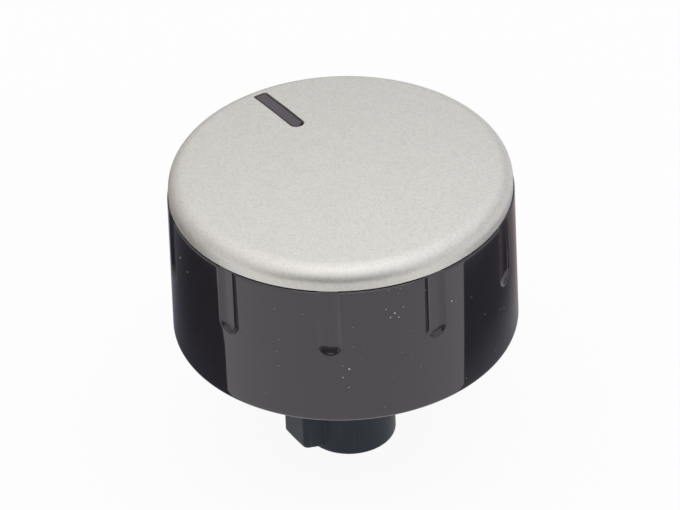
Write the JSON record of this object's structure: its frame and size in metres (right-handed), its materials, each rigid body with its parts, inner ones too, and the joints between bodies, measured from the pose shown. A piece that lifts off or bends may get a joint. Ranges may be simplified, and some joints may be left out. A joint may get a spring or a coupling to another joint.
{
  "type": "stove knob",
  "caption": "Round push-on control knob: gloss black grooved skirt, satin silver domed cap with pointer bar, and a long keyed stem with a D socket.",
  "frame": {"origin": "on the spindle's axis at the lower end face of the stem, which it stands on", "axes": "+Z along the spindle's axis towards the cap, +Y along the pointer, -X through the stem's key"},
  "size_m": [0.042, 0.042, 0.0405],
  "materials": {
    "gloss_black": "gloss black moulding",
    "satin_silver": "satin metallic silver, fine grain",
    "matte_black": "matte black, slightly blue",
    "spring_steel": "bright spring steel"
  },
  "bodies": {
    "root": {"knob_body": "gloss_black", "top_cap": "satin_silver", "shaft_stem": "matte_black", "spindle_spring": "spring_steel"}
  },
  "joints": []
}
